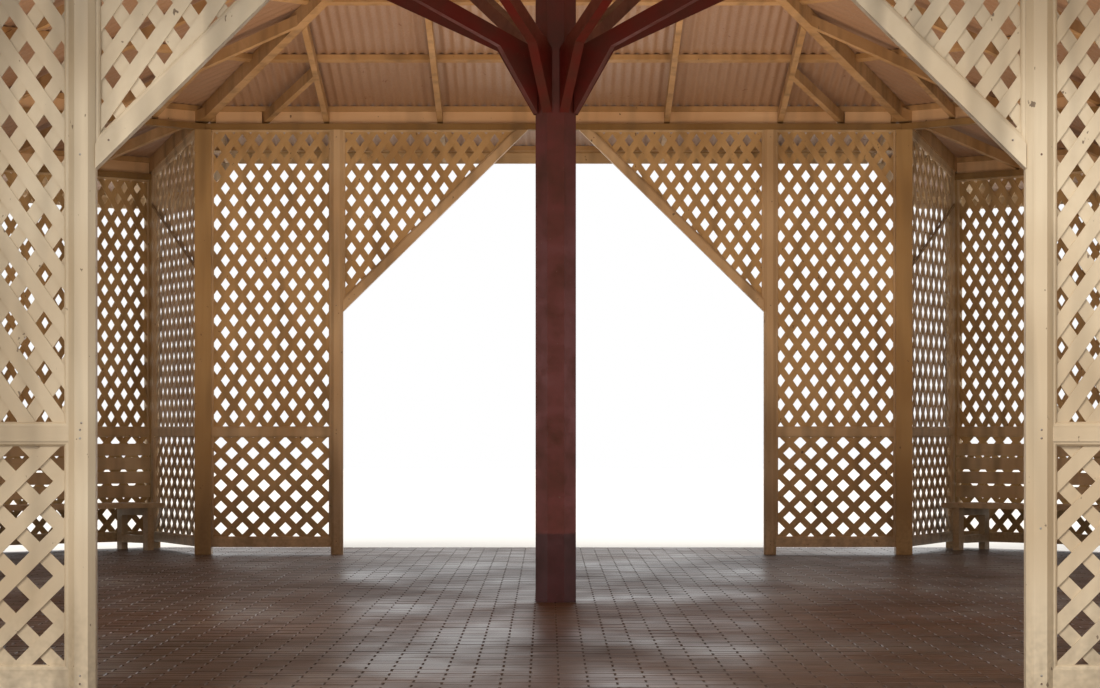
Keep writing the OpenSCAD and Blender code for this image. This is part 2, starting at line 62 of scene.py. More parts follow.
@dataclass(frozen=True)
class Plan:
    """The main sizes of the bandstand, in metres, from the middle of the slab's underside."""

    inner: float = 6.93
    outer: float = 8.40
    rim: float = 8.49
    entry_width: float = 3.45
    floor: float = 0.10
    head: float = 3.48
    plate: float = 0.05
    plate_width: float = 0.10
    corner_post: float = 0.134
    outer_post: float = 0.10
    jamb: float = 0.10
    stud: float = 0.09
    rail: float = 0.05
    stile: float = 0.06
    mid_low: float = 0.9775
    mid_high: float = 1.0325
    rail_top: float = 0.13
    brace_spring: float = 1.99
    brace_head: float = 0.42
    brace_face: float = 0.065
    brace_thick: float = 0.07
    lattice_half: float = 0.00825
    pitch: float = 0.2
    rafter_depth: float = 0.085
    rafter_gap: float = 0.93
    purlin_depth: float = 0.04
    purlin_gap: float = 1.32
    sheet: float = 0.018
    eave: float = 1.10
    return_eave: float = 0.60
    entry_eave: float = 1.15
    fascia_thick: float = 0.022
    hub: float = 0.12
    cap: float = 0.11
    seat: float = 0.40
    seat_deep: float = 0.45
    board: float = 0.04
    board_gap: float = 0.012
    back_board: float = 0.103
    back_gap: float = 0.017
    leg: float = 0.065

    @property
    def inner_x(self) -> float:
        """Half the length of an inner side."""
        return self.inner * TAN_HALF

    @property
    def outer_x(self) -> float:
        """Half the length of an outer side."""
        return self.outer * TAN_HALF

    @property
    def jamb_x(self) -> float:
        """Distance of a jamb post from the middle of its entry."""
        return (self.entry_width + self.jamb) / 2

    @property
    def side_in(self) -> float:
        """Inner edge of an entry's side panel."""
        return self.jamb_x + self.jamb / 2

    @property
    def side_out(self) -> float:
        """Outer edge of an entry's side panel."""
        return self.inner_x - self.corner_post / 2

    @property
    def eave_r(self) -> float:
        """Distance from the centre to the eaves of an alcove."""
        return self.outer + self.eave

    @property
    def entry_r(self) -> float:
        """Distance from the centre to the eaves of an entry."""
        return self.inner + self.entry_eave

    def rafter_z(self, r: float) -> float:
        """Underside of the rafters, above the floor, at r from the centre."""
        return self.head + self.plate + self.pitch * (self.inner + self.plate_width / 2 - r)

    def sheet_z(self, r: float) -> float:
        """Underside of the roof sheet, above the floor, at r from the centre."""
        return self.rafter_z(r) + self.rafter_depth + self.purlin_depth

    def hip_z(self, r: float) -> float:
        """Underside of a hip, above the floor, at r along it."""
        return self.rafter_z(r * COS_HALF)

    @property
    def wall_end(self) -> float:
        """Half the clear length of an alcove wall, between its outer posts."""
        return self.outer_x - self.outer_post / 2

    @property
    def bench_back(self) -> float:
        """Distance from the centre to the back of a bench."""
        return self.outer - self.stud / 2

    @property
    def outer_head(self) -> float:
        """Top of the outer posts above the floor."""
        return self.rafter_z(self.outer + self.plate_width / 2) - self.plate


PLAN = Plan()


# Outlines and meshes


def clip_outline(points: list[Point2], normal: Point2, limit: float) -> list[Point2]:
    """Cuts a convex outline with a straight line.

    Args:
        points: The corners of the outline, in order.
        normal: The direction that is limited.
        limit: How far along the normal the outline may reach.

    Returns:
        The corners of what is left, which may be none.
    """
    kept: list[Point2] = []
    for i, a in enumerate(points):
        b = points[(i + 1) % len(points)]
        da = a[0] * normal[0] + a[1] * normal[1] - limit
        db = b[0] * normal[0] + b[1] * normal[1] - limit
        if da <= 0:
            kept.append(a)
        if da * db < 0:
            t = da / (da - db)
            kept.append((a[0] + (b[0] - a[0]) * t, a[1] + (b[1] - a[1]) * t))
    return kept


def inset_outline(points: list[Point2], distance: float) -> list[Point2]:
    """Draws a convex anticlockwise outline in, with mitred corners.

    Args:
        points: The corners of the outline.
        distance: How far every edge moves in.

    Returns:
        One new corner for each old one.
    """
    lines = []
    for i, a in enumerate(points):
        b = points[(i + 1) % len(points)]
        long = math.hypot(b[0] - a[0], b[1] - a[1])
        nx, ny = (b[1] - a[1]) / long, -(b[0] - a[0]) / long
        lines.append((nx, ny, nx * a[0] + ny * a[1] - distance))
    found = []
    for i in range(len(points)):
        ax, ay, ac = lines[i - 1]
        bx, by, bc = lines[i]
        det = ax * by - ay * bx
        found.append(((ac * by - ay * bc) / det, (ax * bc - ac * bx) / det))
    return found


def oblong(x0: float, x1: float, z0: float, z1: float) -> list[Point2]:
    """An oblong outline, anticlockwise."""
    return [(x0, z0), (x1, z0), (x1, z1), (x0, z1)]


def ring_faces(rings: int, n: int) -> list[tuple[int, ...]]:
    """The faces between rings of n corners each, given in order. Returns them."""
    return [
        (k + i, k + (i + 1) % n, k + n + (i + 1) % n, k + n + i)
        for k in range(0, (rings - 1) * n, n)
        for i in range(n)
    ]


def side_place(number: int) -> Matrix:
    """Turns a piece drawn on the -Y side, at floor level, to the side of that number."""
    return Matrix.Rotation(TURN * number, 4, "Z") @ Matrix.Translation((0, 0, PLAN.floor))


MIRROR = Matrix.Scale(-1, 4, (1, 0, 0))


def return_place(number: int, mirrored: bool) -> Matrix:
    """Puts a piece drawn along +X on a return wall.

    Args:
        number: The entry beside which the wall stands, from 0 to 3.
        mirrored: Whether it is the wall on the left of that entry.

    Returns:
        The matrix from the drawing to the row frame.
    """
    turn = Matrix.Rotation(HALF - math.pi / 2, 4, "Z")
    place = Matrix.Translation((PLAN.inner_x, -PLAN.inner, 0)) @ turn
    if mirrored:
        place = MIRROR @ place
    return side_place(2 * number) @ place


class MeshMaker:
    """Collects the faces of one joined mesh, with a tone for each face."""

    dome = ((1.0, 0.0), (0.92, 0.55), (0.55, 0.92))

    def __init__(self) -> None:
        """Starts an empty mesh."""
        self.points: list[Point3] = []
        self.faces: list[tuple[int, ...]] = []
        self.tones: list[float] = []

    def add(
        self,
        points: list[Point3],
        faces: list[tuple[int, ...]],
        place: Matrix = Matrix.Identity(4),
        tone: float = 0.5,
    ) -> None:
        """Adds faces, turned the right way out in a mirrored place.

        Args:
            points: The new vertices, in the drawing.
            faces: The faces, as places in that list.
            place: The matrix from the drawing to the row frame.
            tone: The tone of every one of these faces.
        """
        start = len(self.points)
        self.points.extend(tuple(place @ Vector(p)) for p in points)
        flip = place.determinant() < 0
        for face in faces:
            order = tuple(start + i for i in face)
            self.faces.append(order[::-1] if flip else order)
            self.tones.append(tone)

    def prism(
        self,
        low: list[Point2],
        high: list[Point2],
        z0: float,
        z1: float,
        tone: float = 0.5,
        base: bool = False,
    ) -> None:
        """Adds a prism or a chamfered cap between two outlines of as many corners.

        Args:
            low: The outline at the bottom, anticlockwise.
            high: The outline at the top.
            z0: The height of the bottom.
            z1: The height of the top.
            tone: The tone of its faces.
            base: Whether the bottom is closed.
        """
        n = len(low)
        points = [(x, y, z0) for x, y in low] + [(x, y, z1) for x, y in high]
        faces = ring_faces(2, n)
        faces.append(tuple(range(n, 2 * n)))
        if base:
            faces.append(tuple(reversed(range(n))))
        self.add(points, faces, tone=tone)

    def head(self, place: Matrix, radius: float, rise: float, sides: int = 8) -> None:
        """Adds the low domed head of a nail or a screw.

        Args:
            place: The matrix from the drawing, in whose XY plane the head's base lies.
            radius: The radius of the head.
            rise: Its height.
            sides: The number of its sides.
        """
        step = 2 * math.pi / sides
        points = [
            (radius * wide * math.cos(step * i), radius * wide * math.sin(step * i), rise * high)
            for wide, high in self.dome
            for i in range(sides)
        ]
        points.append((0.0, 0.0, rise))
        faces = ring_faces(len(self.dome), sides)
        last = (len(self.dome) - 1) * sides
        faces.extend((last + i, last + (i + 1) % sides, len(points) - 1) for i in range(sides))
        self.add(points, faces, place)

    def build(self, name: str) -> bpy.types.Object:
        """Makes the object, with flat shading.

        Args:
            name: The name of the object and its mesh.

        Returns:
            The new object, linked to the scene.
        """
        mesh = bpy.data.meshes.new(name)
        mesh.from_pydata(self.points, [], self.faces)
        tone = mesh.attributes.new("tone", "FLOAT", "FACE")
        tone.data.foreach_set("value", self.tones)
        mesh.polygons.foreach_set("use_smooth", [False] * len(mesh.polygons))
        mesh.update()
        made = bpy.data.objects.new(name, mesh)
        bpy.context.scene.collection.objects.link(made)
        return made


def fit(
    piece: bpy.types.Object,
    slot: str,
    material: bpy.types.Material,
    stands_for: tuple[str, ...] = (),
) -> None:
    """Finishes a new piece and fixes it to the building.

    Args:
        piece: The new piece.
        slot: The name of its material slot, which only goes to the log.
        material: The finish.
        stands_for: The nodes of the frame that it replaces.
    """
    piece.data.materials.append(material)
    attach(piece, "root")
    if stands_for:
        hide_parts(*stands_for)
    LOG.info("%s: %d faces, %s", piece.name, len(piece.data.polygons), slot)


# Finishes


class Grain(Enum):
    """The way the brush marks and the grain of a timber run."""

    UPRIGHT = (38.0, 38.0, 1.6)
    LEVEL = (2.2, 2.2, 46.0)
    MIXED = (16.0, 16.0, 14.0)


class Shader:
    """Builds the nodes of one material."""

    def __init__(self, name: str) -> None:
        """Starts a material with an empty node tree."""
        self.material = bpy.data.materials.new(name)
        self.material.use_nodes = True
        self.tree = self.material.node_tree
        self.tree.nodes.clear()

    def add(self, kind: str, inputs: dict | None = None, **settings) -> bpy.types.Node:
        """Adds a node.

        Args:
            kind: The node's type, without the leading ShaderNode.
            inputs: Its sockets by name or number, each a value or another node's output.
            settings: Its other properties.

        Returns:
            The new node.
        """
        node = self.tree.nodes.new("ShaderNode" + kind)
        for key, value in settings.items():
            setattr(node, key, value)
        for key, value in (inputs or {}).items():
            socket = node.inputs[key]
            if isinstance(value, bpy.types.NodeSocket):
                self.tree.links.new(value, socket)
            elif isinstance(value, tuple) and len(value) == 3 and socket.type == "RGBA":
                socket.default_value = (*value, 1.0)
            else:
                socket.default_value = value
        return node

    def noise(
        self,
        scale: float,
        stretch: Point3 = (1.0, 1.0, 1.0),
        detail: float = 4.0,
        rough: float = 0.6,
    ) -> bpy.types.NodeSocket:
        """A noise over the row frame, stretched along each axis. Returns its factor socket."""
        position = self.add("NewGeometry").outputs["Position"]
        mapped = self.add("Mapping", {"Vector": position, "Scale": stretch}).outputs["Vector"]
        inputs = {"Vector": mapped, "Scale": scale, "Detail": detail, "Roughness": rough}
        return self.add("TexNoise", inputs).outputs["Fac"]

    def ramp(
        self, value: Value, low: float, high: float, out_low: float = 0.0, out_high: float = 1.0
    ) -> bpy.types.NodeSocket:
        """Maps a value from one range to another, held at both ends. Returns the result socket."""
        inputs = {"Value": value, "From Min": low, "From Max": high}
        inputs |= {"To Min": out_low, "To Max": out_high}
        return self.add("MapRange", inputs).outputs["Result"]

    def maths(self, operation: str, a: Value, b: Value) -> bpy.types.NodeSocket:
        """One sum of two values. Returns the result socket."""
        return self.add("Math", {0: a, 1: b}, operation=operation).outputs["Value"]

    def mix(self, factor: Value, a: Tint, b: Tint) -> bpy.types.NodeSocket:
        """Mixes two colours. Returns the colour socket."""
        return self.add("Mix", {0: factor, 6: a, 7: b}, data_type="RGBA").outputs[2]

    def bump(self, height: Value, strength: float, distance: float) -> bpy.types.NodeSocket:
        """A bump from a height. Returns the normal socket."""
        inputs = {"Height": height, "Strength": strength, "Distance": distance}
        return self.add("Bump", inputs).outputs["Normal"]

    def low_dirt(self, top: float) -> bpy.types.NodeSocket:
        """How close a point lies to the floor, from 1 at the floor to 0 at the top height."""
        position = self.add("NewGeometry").outputs["Position"]
        height = self.add("SeparateXYZ", {"Vector": position}).outputs["Z"]
        return self.ramp(height, PLAN.floor, top, 1.0, 0.0)

    def finish(
        self, colour: Tint, roughness: Value, normal: bpy.types.NodeSocket, metallic: float = 0.0
    ) -> bpy.types.Material:
        """Closes the tree with one principled surface. Returns the material."""
        inputs = {"Base Color": colour, "Roughness": roughness, "Normal": normal}
        surface = self.add("BsdfPrincipled", inputs | {"Metallic": metallic})
        self.add("OutputMaterial", {"Surface": surface.outputs["BSDF"]})
        return self.material


@dataclass(frozen=True)
class PaintedTimber:
    """Oil paint on timber, with brush marks, grime and chips down to the wood."""

    name: str
    tint: Colour = (0.70, 0.58, 0.415)
    aged: Colour = (0.54, 0.415, 0.27)
    grime: Colour = (0.13, 0.095, 0.06)
    bare: Colour = (0.22, 0.16, 0.11)
    chips: float = 0.29
    dirt: float = 0.45
    roughness: float = 0.42
    grain: Grain = Grain.UPRIGHT

    def material(self) -> bpy.types.Material:
        """Builds the finish. Returns the material."""
        s = Shader(self.name)
        brush = s.noise(1.0, self.grain.value, 2.5, 0.65)
        patch = s.noise(1.7, detail=1.0)
        speck = s.noise(38.0, detail=1.0)
        colour = s.mix(s.ramp(patch, 0.35, 0.7), self.tint, self.aged)
        colour = s.mix(s.ramp(brush, 0.42, 0.78, 0.0, 0.35), colour, self.aged)
        runs = s.noise(2.6, (3.0, 3.0, 0.35), 1.0)
        streak = s.maths("MULTIPLY", s.ramp(runs, 0.48, 0.74), self.dirt)
        colour = s.mix(streak, colour, self.grime)
        foot = s.maths("MULTIPLY", s.low_dirt(0.55), s.ramp(speck, 0.3, 0.8))
        colour = s.mix(s.maths("MULTIPLY", foot, 0.45), colour, self.grime)
        flakes = s.noise(21.0, (1.0, 1.0, 0.6), 3.0, 0.7)
        chip = s.ramp(flakes, self.chips, self.chips + 0.02, 1.0, 0.0)
        colour = s.mix(chip, colour, self.bare)
        rough = s.ramp(speck, 0.3, 0.7, self.roughness - 0.08, self.roughness + 0.14)
        rough = s.maths("ADD", rough, chip)
        return s.finish(colour, s.maths("MINIMUM", rough, 0.9), s.bump(brush, 0.5, 0.0006))


@dataclass(frozen=True)
class RibbedMetal:
    """Matt coated roof sheet with dust, fine mottling and a few rust specks."""

    name: str
    tint: Colour = (0.44, 0.31, 0.245)
    dusty: Colour = (0.485, 0.355, 0.285)
    rust: Colour = (0.20, 0.075, 0.03)
    roughness: float = 0.5

    def material(self) -> bpy.types.Material:
        """Builds the finish. Returns the material."""
        s = Shader(self.name)
        dust = s.noise(1.3, detail=2.0)
        fine = s.noise(60.0, detail=1.5)
        colour = s.mix(s.ramp(dust, 0.35, 0.68), self.tint, self.dusty)
        colour = s.mix(s.ramp(fine, 0.4, 0.75, 0.0, 0.3), colour, self.tint)
        speck = s.ramp(s.noise(9.0, detail=3.0, rough=0.75), 0.68, 0.72)
        colour = s.mix(s.maths("MULTIPLY", speck, 0.75), colour, self.rust)
        rough = s.ramp(fine, 0.3, 0.7, self.roughness - 0.1, self.roughness + 0.15)
        return s.finish(colour, rough, s.bump(fine, 0.3, 0.0008), 0.15)


@dataclass(frozen=True)
class IronPaint:
    """Dark gloss paint on iron, with an orange-peel surface and worn spots."""

    name: str
    tint: Colour = (0.075, 0.0095, 0.0095)
    worn: Colour = (0.045, 0.013, 0.011)
    primer: Colour = (0.09, 0.06, 0.05)
    roughness: float = 0.3

    def material(self) -> bpy.types.Material:
        """Builds the finish. Returns the material."""
        s = Shader(self.name)
        peel = s.noise(240.0, detail=2.0)
        patch = s.noise(6.0, detail=5.0)
        colour = s.mix(s.ramp(patch, 0.4, 0.7), self.tint, self.worn)
        chip = s.ramp(s.noise(30.0, detail=5.0, rough=0.7), 0.3, 0.32, 1.0, 0.0)
        colour = s.mix(chip, colour, self.primer)
        rough = s.ramp(patch, 0.35, 0.7, self.roughness, self.roughness + 0.25)
        return s.finish(colour, rough, s.bump(s.maths("SUBTRACT", peel, chip), 0.25, 0.0008))


@dataclass(frozen=True)
class BrickFinish:
    """Worn clay bricks whose colour follows the tone of each brick."""

    name: str
    dark: Colour = (0.034, 0.016, 0.009)
    mid: Colour = (0.074, 0.032, 0.016)
    light: Colour = (0.115, 0.060, 0.034)
    dust: Colour = (0.085, 0.058, 0.040)
    roughness: float = 0.36

    def material(self) -> bpy.types.Material:
        """Builds the finish. Returns the material."""
        s = Shader(self.name)
        tone = s.add("Attribute", attribute_name="tone").outputs["Fac"]
        colour = s.mix(s.ramp(tone, 0.0, 0.5), self.dark, self.mid)
        colour = s.mix(s.ramp(tone, 0.5, 1.0), colour, self.light)
        grit = s.noise(85.0, detail=2.0, rough=0.7)
        colour = s.mix(s.ramp(grit, 0.42, 0.72, 0.0, 0.45), colour, self.dark)
        dust = s.maths("MULTIPLY", s.ramp(s.noise(2.1, detail=3.0), 0.42, 0.72), 0.5)
        colour = s.mix(dust, colour, self.dust)
        trodden = s.noise(0.8, (1.0, 0.55, 1.0), 3.0, 0.65)
        rough = s.ramp(trodden, 0.36, 0.66, self.roughness - 0.08, self.roughness + 0.16)
        return s.finish(colour, rough, s.bump(grit, 0.45, 0.0014))


@dataclass(frozen=True)
class MortarFinish:
    """Sandy bedding in the joints of the floor."""

    name: str
    tint: Colour = (0.060, 0.040, 0.028)
    dark: Colour = (0.034, 0.022, 0.016)

    def material(self) -> bpy.types.Material:
        """Builds the finish. Returns the material."""
        s = Shader(self.name)
        grit = s.noise(160.0, detail=4.0, rough=0.75)
        colour = s.mix(s.ramp(s.noise(3.0), 0.35, 0.7), self.tint, self.dark)
        colour = s.mix(s.ramp(grit, 0.45, 0.7, 0.0, 0.5), colour, self.dark)
        return s.finish(colour, 0.7, s.bump(grit, 0.5, 0.001))


@dataclass(frozen=True)
class ZincFinish:
    """Dull zinc on nail heads and roof screws."""

    name: str
    tint: Colour = (0.36, 0.34, 0.31)
    rust: Colour = (0.15, 0.065, 0.03)

    def material(self) -> bpy.types.Material:
        """Builds the finish. Returns the material."""
        s = Shader(self.name)
        spots = s.noise(120.0, detail=4.0)
        colour = s.mix(s.ramp(spots, 0.45, 0.6), self.tint, self.rust)
        return s.finish(colour, s.ramp(spots, 0.3, 0.7, 0.4, 0.8), s.bump(spots, 0.4, 0.0005), 0.6)


# The floor


@dataclass
class Paving:
    """The brick floor: a bed, a kerb of bricks across the rim and courses within it."""

    brick_long: float = 0.230
    brick_wide: float = 0.110
    gap: float = 0.006
    chamfer: float = 0.0028
    bed_top: float = 0.0965
    bed_inset: float = 0.006
    sunk: float = 0.002
    kerb_deep: float = 0.230
    kerb_wear: float = 0.0012
    wear: float = 0.0016
    kerb_smallest: float = 0.002
    smallest: float = 0.0015
    seed: int = 11
    chance: random.Random = field(init=False)

    def __post_init__(self) -> None:
        """Starts the seeded chance."""
        self.chance = random.Random(self.seed)

    def octagon(self, apothem: float) -> list[Point2]:
        """The corners of an octagon with sides square to the axes. Returns them anticlockwise."""
        r = apothem / COS_HALF
        return [(r * math.cos(TURN * i + HALF), r * math.sin(TURN * i + HALF)) for i in range(8)]

    def brick(self, maker: MeshMaker, outline: list[Point2]) -> None:
        """Adds one brick with worn arrises.

        Args:
            maker: The mesh that it joins.
            outline: Its plan, anticlockwise.
        """
        top = PLAN.floor - self.chance.uniform(0.0, self.wear)
        worn = self.chamfer * self.chance.uniform(0.8, 1.3)
        tone = self.chance.betavariate(2.0, 2.4)
        high = inset_outline(outline, worn)
        maker.prism(outline, high, self.bed_top - self.sunk, top, tone)

    def bed(self) -> bpy.types.Object:
        """The bed under the bricks. Returns the object."""
        maker = MeshMaker()
        rim = self.octagon(PLAN.rim - self.bed_inset)
        maker.prism(rim, rim, 0.0, self.bed_top, base=True)
        return maker.build("paving_bed")

    def kerb(self) -> bpy.types.Object:
        """The course of bricks across the rim. Returns the object."""
        maker = MeshMaker()
        step = self.brick_wide + self.gap
        for side in range(8):
            place = Matrix.Rotation(TURN * side, 4, "Z")
            count = int(2 * PLAN.rim * TAN_HALF / step) + 2
            for i in range(-count // 2, count // 2 + 1):
                x = i * step
                cut = oblong(x, x + self.brick_wide, -PLAN.rim, -PLAN.rim + self.kerb_deep)
                for way in (-1, 1):
                    cut = clip_outline(cut, (way * COS_HALF, SIN_HALF), -self.gap / 2)
                if self.is_whole(cut, self.kerb_smallest):
                    self.kerb_brick(maker, cut, place)
        return maker.build("paving_kerb")

    def kerb_brick(self, maker: MeshMaker, cut: list[Point2], place: Matrix) -> None:
        """Adds one kerb brick, whose outer end shows down to the ground."""
        top = PLAN.floor - self.chance.uniform(0.0, self.kerb_wear)
        tone = self.chance.uniform(0.55, 1.0)
        n = len(cut)
        high = inset_outline(cut, self.chamfer)
        rings = [(cut, 0.0), (cut, top - self.chamfer), (high, top)]
        points = [(x, y, z) for ring, z in rings for x, y in ring]
        faces = ring_faces(len(rings), n)
        faces.append(tuple(range(2 * n, 3 * n)))
        faces.append(tuple(reversed(range(n))))
        maker.add(points, faces, place, tone)

    @staticmethod
    def is_whole(outline: list[Point2], smallest: float) -> bool:
        """Whether a cut brick is large enough to lay, from its smallest area in square metres."""
        if len(outline) < 3:
            return False
        pairs = zip(outline, outline[1:] + outline[:1])
        return abs(sum(a[0] * b[1] - b[0] * a[1] for a, b in pairs)) / 2 >= smallest

    def courses(self) -> list[bpy.types.Object]:
        """The courses of bricks inside the kerb, in four quarters. Returns the objects."""
        field_r = PLAN.rim - self.kerb_deep - self.gap
        makers = [MeshMaker() for _ in range(4)]
        step_x = self.brick_long + self.gap
        step_y = self.brick_wide + self.gap
        rows = int(field_r / step_y) + 2
        columns = int(field_r / step_x) + 2
        for row in range(-rows, rows):
            shift = step_x / 2 if row % 2 else 0.0
            for column in range(-columns, columns + 1):
                x, y = column * step_x + shift, row * step_y
                cut = oblong(x, x + self.brick_long, y, y + self.brick_wide)
                for side in range(8):
                    normal = (math.cos(TURN * side), math.sin(TURN * side))
                    cut = clip_outline(cut, normal, field_r)
                if self.is_whole(cut, self.smallest):
                    self.brick(makers[(x > 0) + 2 * (y > 0)], cut)
        return [maker.build(f"paving_{i + 1}") for i, maker in enumerate(makers)]

    def build(self, brick: bpy.types.Material, mortar: bpy.types.Material) -> None:
        """Builds and finishes the floor.

        Args:
            brick: The finish of the bricks.
            mortar: The finish of the bed.
        """
        fit(self.bed(), "paving", mortar, ("floor_slab",))
        fit(self.kerb(), "paving", brick)
        for piece in self.courses():
            fit(piece, "paving", brick)


# The roof


@dataclass
class RibbedRoof:
    """The ribbed sheets of the eight roof planes, with their screws."""

    rib: float = 0.076
    steps: int = 8
    split: float = 0.6
    metal: float = 0.0016
    joint: float = 0.0006
    screw: float = 0.0065
    screw_rise: float = 0.005
    screw_sink: float = 0.0005
    screw_sides: int = 6
    screw_every: int = 3
    screw_edge: float = 0.04
    hip_edge: float = 0.02
    reach_edge: float = 0.05
    rows: int = 5

    def wave(self, x: float) -> float:
        """Height of the middle of the sheet above its lowest line, at x."""
        swing = (PLAN.sheet - self.metal) / 2
        return PLAN.sheet / 2 - swing * math.cos(2 * math.pi * x / self.rib)

    def start(self, x: float) -> float:
        """Distance from the centre where the sheet starts, at x."""
        return max(PLAN.hub, (abs(x) + self.joint) / TAN_HALF)

    def end(self, x: float, entry: bool) -> float:
        """Distance from the centre where the sheet ends, at x."""
        if not entry:
            return PLAN.eave_r
        along = (abs(x) + PLAN.return_eave / COS_HALF) / TAN_HALF
        return min(PLAN.eave_r, max(PLAN.entry_r, along))

    def levels(self) -> list[float]:
        """The distances from the centre at which the sheets' faces are split. Returns them."""
        count = math.ceil((PLAN.eave_r - PLAN.hub) / self.split)
        return [PLAN.hub + (PLAN.eave_r - PLAN.hub) * i / count for i in range(count + 1)]

    def breaks(self, entry: bool) -> list[float]:
        """The places across a plane where its faces meet. Returns them in order."""
        wide = PLAN.eave_r * TAN_HALF - self.joint
        step = self.rib / self.steps
        count = int(wide / step)
        found = {round(i * step, 6) for i in range(-count, count + 1)}
        found |= {-wide, wide}
        if entry:
            for r in (PLAN.entry_r, PLAN.eave_r):
                edge = r * TAN_HALF - PLAN.return_eave / COS_HALF
                found |= {-edge, edge}
        return sorted(found)

    def corners(self, entry: bool) -> tuple[list[Point3], list[list[int]]]:
        """Places the corners of one plane of sheets, in lines that run down the slope.

        Args:
            entry: Whether the plane lies over an entry.

        Returns:
            The corners, each on the upper face with the one under it next. Then, for each line,
            the place of its upper corner at every level.
        """
        points: list[Point3] = []
        lines = []
        for x in self.breaks(entry):
            r1 = self.end(x, entry)
            r0 = min(self.start(x), r1)
            line = []
            for k, level in enumerate(self.levels()):
                r = min(max(level, r0), r1)
                if k == 0 or r != -points[-1][1]:
                    middle = PLAN.sheet_z(r) + self.wave(x)
                    points.append((x, -r, middle + self.metal / 2))
                    points.append((x, -r, middle - self.metal / 2))
                line.append(len(points) - 2)
            lines.append(line)
        return points, lines

    def sheet(self, number: int) -> bpy.types.Object:
        """One plane of sheets.

        Args:
            number: The plane, from 0 at the front, anticlockwise.

        Returns:
            The object.
        """
        maker = MeshMaker()
        points, lines = self.corners(number % 2 == 0)
        faces: list[tuple[int, ...]] = []
        for a, b in zip(lines, lines[1:]):
            for k in range(len(a) - 1):
                quad = (a[k], a[k + 1], b[k + 1], b[k])
                # Past the edge of the sheet the corners of a line fall together.
                ring = [corner for i, corner in enumerate(quad) if corner != quad[i - 1]]
                if len(ring) > 2:
                    faces.append(tuple(ring))
                    faces.append(tuple(corner + 1 for corner in reversed(ring)))
            faces.append((a[0], b[0], b[0] + 1, a[0] + 1))
            faces.append((a[-1], a[-1] + 1, b[-1] + 1, b[-1]))
        maker.add(points, faces, side_place(number))
        return maker.build(f"ribbed_sheet_{number + 1}")

    def screws(self) -> bpy.types.Object:
        """The screws along every purlin. Returns the object."""
        maker = MeshMaker()
        lines = [PLAN.inner - i * PLAN.purlin_gap for i in range(self.rows)]
        lines += [PLAN.outer, PLAN.eave_r - self.screw_edge]
        tilt = Matrix.Rotation(math.atan(PLAN.pitch), 4, "X")
        for side in range(8):
            entry = side % 2 == 0
            for r in lines + [PLAN.entry_r - self.screw_edge] * entry:
                hip = r * TAN_HALF - PLAN.cap
                reach = int((hip - self.reach_edge) / self.rib)
                z = PLAN.sheet_z(r) + PLAN.sheet - self.screw_sink
                for i in range(-reach, reach + 1):
                    x = (i + 0.5) * self.rib
                    past_edge = abs(x) > hip - self.hip_edge or r > self.end(x, entry)
                    if i % self.screw_every or past_edge:
                        continue
                    place = side_place(side) @ Matrix.Translation((x, -r, z)) @ tilt
                    maker.head(place, self.screw, self.screw_rise, self.screw_sides)
        return maker.build("roof_screws")

    def build(self, metal: bpy.types.Material, zinc: bpy.types.Material) -> None:
        """Builds and finishes the roof.

        Args:
            metal: The finish of the sheets.
            zinc: The finish of the screws.
        """
        for number in range(8):
            fit(self.sheet(number), "roof_metal", metal, (f"roof_sheet_{number + 1}",))
        fit(self.screws(), "roof_metal", zinc)


# The walls


@dataclass(frozen=True)
class Panel:
    """One lattice panel: its outline, its place, and the wall's distance from the origin there."""

    outline: tuple[Point2, ...]
    place: Matrix
    away: float


